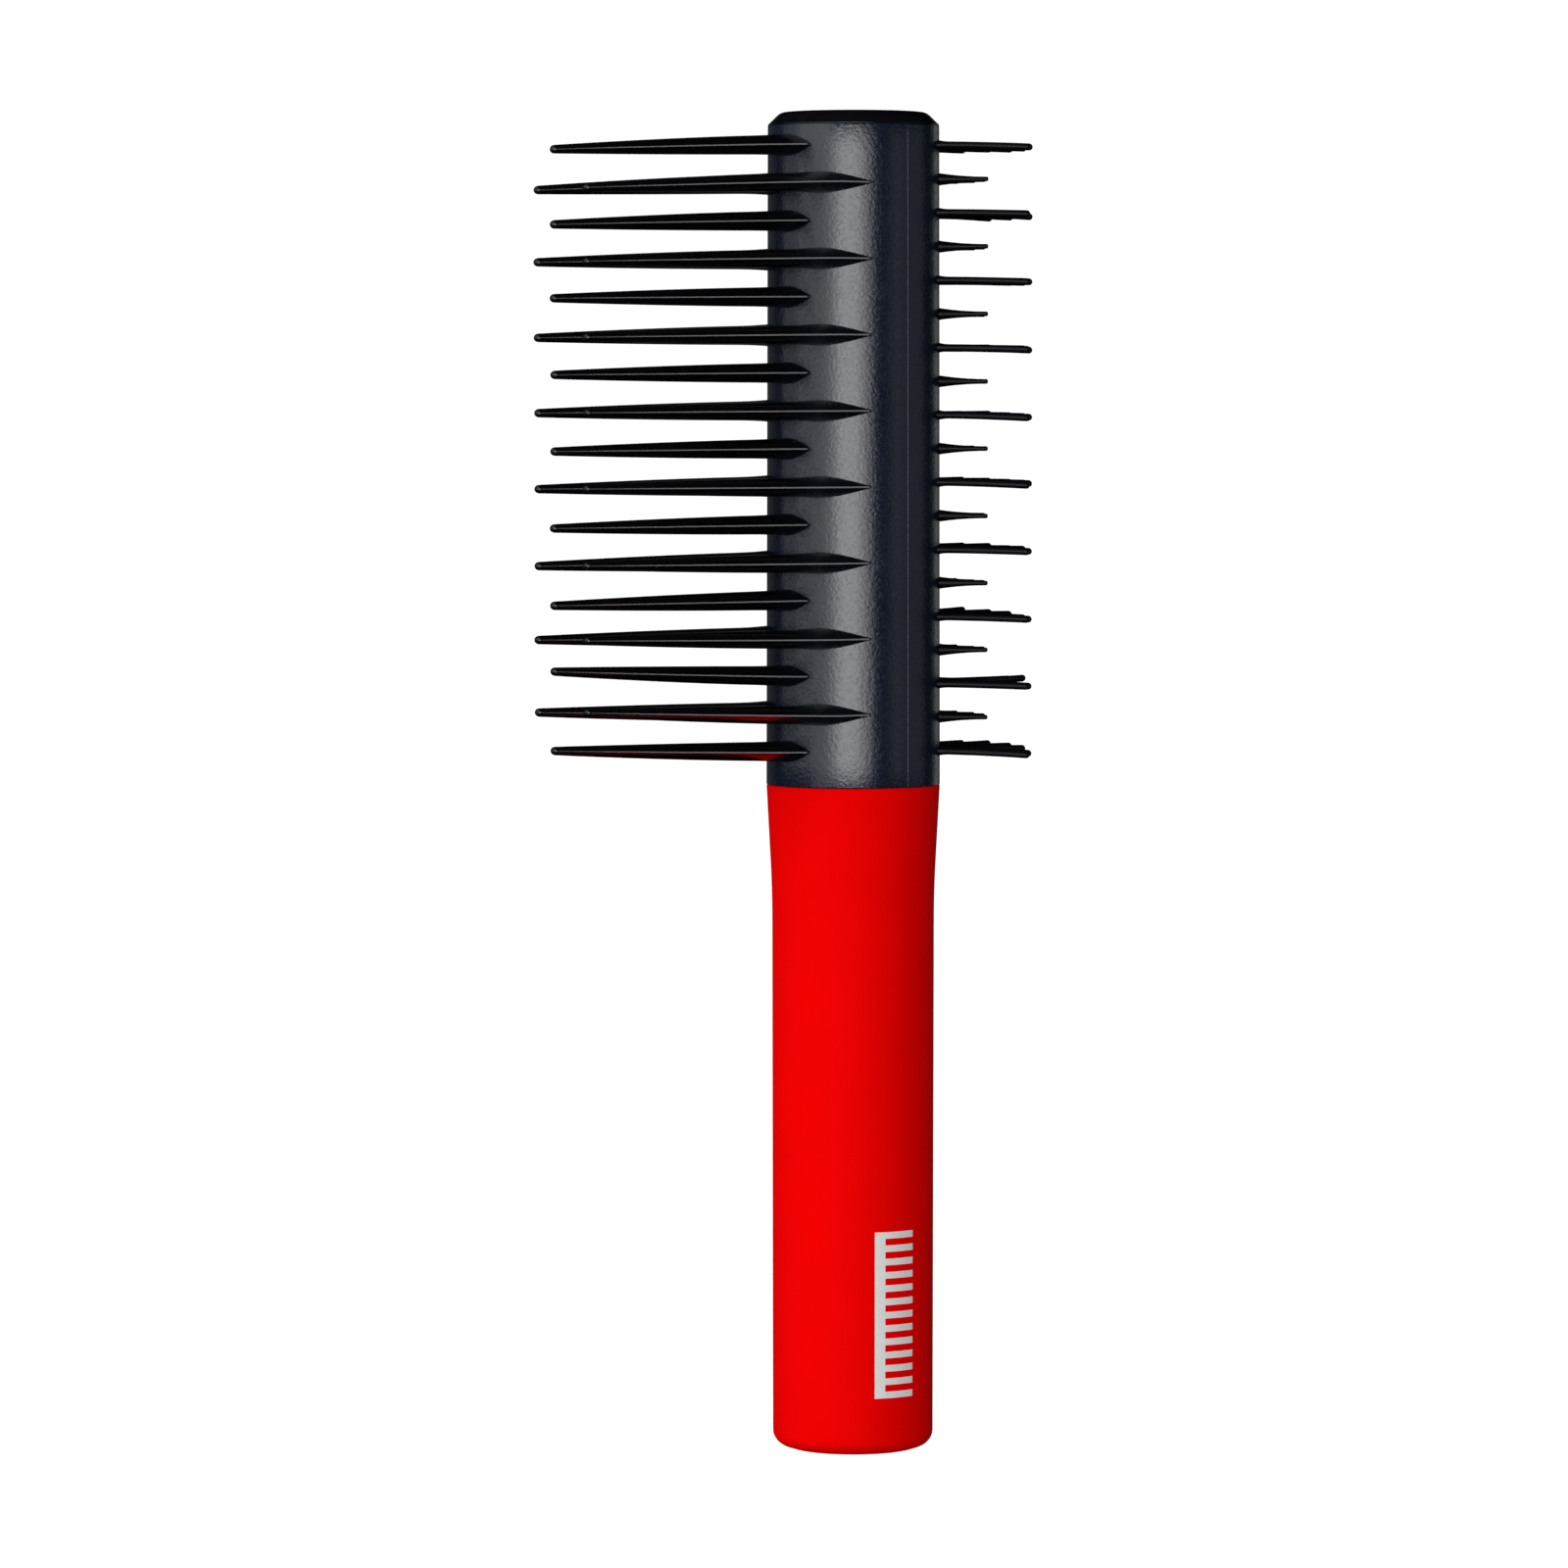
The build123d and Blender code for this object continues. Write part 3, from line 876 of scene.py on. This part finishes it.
camera_data = bpy.data.cameras.new("camera")
camera = bpy.data.objects.new("camera", camera_data)
bpy.context.scene.collection.objects.link(camera)
camera_place = toward_camera * CAMERA_DISTANCE - right_of_view * AXIS_RIGHT_OF_CENTRE
camera_place.z = CAMERA_HEIGHT
aim = -right_of_view * AXIS_RIGHT_OF_CENTRE + Vector((0, 0, PICTURE_CENTRE))
camera.location = camera_place * MM
camera.rotation_mode = "QUATERNION"
camera.rotation_quaternion = (aim - camera_place).to_track_quat("-Z", "Y")
camera_data.sensor_width = SENSOR_WIDTH
camera_data.lens = SENSOR_WIDTH * CAMERA_DISTANCE / PICTURE_WIDTH
camera_data.clip_start = 0.05
camera_data.clip_end = 100
bpy.context.scene.camera = camera


# ---- Floor, lights and surroundings ----

FLOOR_REACH = 40.0  # metres
FLOOR_GLOW = 0.95
LIGHT_DISTANCE = 1.6  # metres
WHITE = (1, 1, 1, 1)
SEEN_WHITE = 1.05  # what the camera sees behind the brush
AMBIENT = 0.15
BACK_GLOW = 0.06
GLOW_FACING = (0.5, 0.75)  # the cosines from straight behind between which the glow comes in
GLOW_LEVEL = (0.15, 0.32)  # the sines above and below level between which it goes out


def floor():
    """A plain white floor that runs out to a white horizon, and stays out of reflections."""
    mesh = bpy.data.meshes.new("floor")
    low, high = -FLOOR_REACH, FLOOR_REACH
    corners = [(low, low, 0), (high, low, 0), (high, high, 0), (low, high, 0)]
    mesh.from_pydata(corners, [], [(0, 1, 2, 3)])
    material = bpy.data.materials.new("floor_white")
    material.use_nodes = True
    shader = material.node_tree.nodes["Principled BSDF"]
    shader.inputs["Base Color"].default_value = (0.9, 0.9, 0.9, 1)
    shader.inputs["Roughness"].default_value = 0.9
    shader.inputs["Specular IOR Level"].default_value = 0.0
    shader.inputs["Emission Color"].default_value = WHITE
    shader.inputs["Emission Strength"].default_value = FLOOR_GLOW
    mesh.materials.append(material)
    ground = bpy.data.objects.new("floor", mesh)
    bpy.context.scene.collection.objects.link(ground)
    ground.visible_glossy = False
    ground.visible_diffuse = False


def soft_light(name, turn, spread, low, high, brightness, mirrored=True):
    """A rectangular soft light that faces the brush.

    It stands turn degrees right of the camera and is spread degrees wide; low and high are
    the heights of its ends in metres, and its brightness is its radiance.  A light that is
    not mirrored only lights what it falls on, and shows in no reflection.
    """
    side = math.radians(turn)
    place = toward_camera * math.cos(side) + right_of_view * math.sin(side)
    width = 2 * LIGHT_DISTANCE * math.tan(math.radians(spread / 2))
    data = bpy.data.lights.new(name, "AREA")
    data.shape = "RECTANGLE"
    data.size = width
    data.size_y = high - low
    data.energy = math.pi * brightness * width * (high - low)
    light = bpy.data.objects.new(name, data)
    light.location = place * LIGHT_DISTANCE + Vector((0, 0, (low + high) / 2))
    light.rotation_mode = "QUATERNION"
    light.rotation_quaternion = (-place).to_track_quat("-Z", "Y")
    light.visible_camera = False
    light.visible_glossy = mirrored
    bpy.context.scene.collection.objects.link(light)


def surroundings():
    """White to the camera; to the brush, a dark room with a dim glow low down behind it."""
    world = bpy.data.worlds.new("studio")
    bpy.context.scene.world = world
    world.use_nodes = True
    tree = world.node_tree
    tree.nodes.clear()

    def node(kind, **settings):
        made = tree.nodes.new(kind)
        for key, value in settings.items():
            setattr(made, key, value)
        return made

    def stage(value, start, end, low, high):
        """A smooth step of a value from low to high between start and end."""
        step = node("ShaderNodeMapRange", interpolation_type="SMOOTHSTEP")
        limits = {"From Min": start, "From Max": end, "To Min": low, "To Max": high}
        for name, number in limits.items():
            step.inputs[name].default_value = number
        tree.links.new(value, step.inputs["Value"])
        return step.outputs["Result"]

    def background(strength=None, value=None):
        """A white background of a fixed strength, or of a strength that a value gives."""
        made = node("ShaderNodeBackground")
        made.inputs["Color"].default_value = WHITE
        if value:
            tree.links.new(value, made.inputs["Strength"])
        else:
            made.inputs["Strength"].default_value = strength
        return made.outputs["Background"]

    def mixed(factor, first, second):
        mix = node("ShaderNodeMixShader")
        tree.links.new(factor, mix.inputs["Fac"])
        tree.links.new(first, mix.inputs[1])
        tree.links.new(second, mix.inputs[2])
        return mix.outputs["Shader"]

    direction = node("ShaderNodeTexCoord").outputs["Generated"]
    facing = node("ShaderNodeVectorMath", operation="DOT_PRODUCT")
    facing.inputs[1].default_value = tuple(-toward_camera)
    tree.links.new(direction, facing.inputs[0])
    parts = node("ShaderNodeSeparateXYZ")
    tree.links.new(direction, parts.inputs["Vector"])
    level = node("ShaderNodeMath", operation="ABSOLUTE")
    tree.links.new(parts.outputs["Z"], level.inputs[0])
    glow = node("ShaderNodeMath", operation="MULTIPLY")
    tree.links.new(stage(facing.outputs["Value"], *GLOW_FACING, 0.0, BACK_GLOW), glow.inputs[0])
    tree.links.new(stage(level.outputs["Value"], *GLOW_LEVEL, 1.0, 0.0), glow.inputs[1])
    rays = node("ShaderNodeLightPath")
    reflected = background(value=glow.outputs["Value"])
    ambient = background(strength=AMBIENT)
    room = mixed(rays.outputs["Is Glossy Ray"], ambient, reflected)
    seen = mixed(rays.outputs["Is Camera Ray"], room, background(strength=SEEN_WHITE))
    output = node("ShaderNodeOutputWorld")
    tree.links.new(seen, output.inputs["Surface"])


floor()
surroundings()
soft_light("key_core", -7, 29, -0.28, 0.62, 1.75)
soft_light("key_middle", -4.5, 46, -0.28, 0.62, 1.6)
soft_light("key_wide", -4, 59, -0.28, 0.62, 1.2)
soft_light("left_near", -43, 26, -0.5, 3.0, 0.75)
soft_light("left_middle", -68, 24, -0.05, 3.0, 0.65)
soft_light("left_wide", -69, 78, -0.05, 3.0, 0.45)
soft_light("right_wide", 77, 60, -0.28, 0.62, 0.18)
soft_light("right_strip", 60, 3, -0.28, 0.62, 0.4)
soft_light("left_fill", -75, 60, -0.8, 1.2, 0.5, mirrored=False)
soft_light("back_right", 146, 16, -0.4, 0.8, 0.3)
bpy.context.scene.view_settings.view_transform = "Standard"
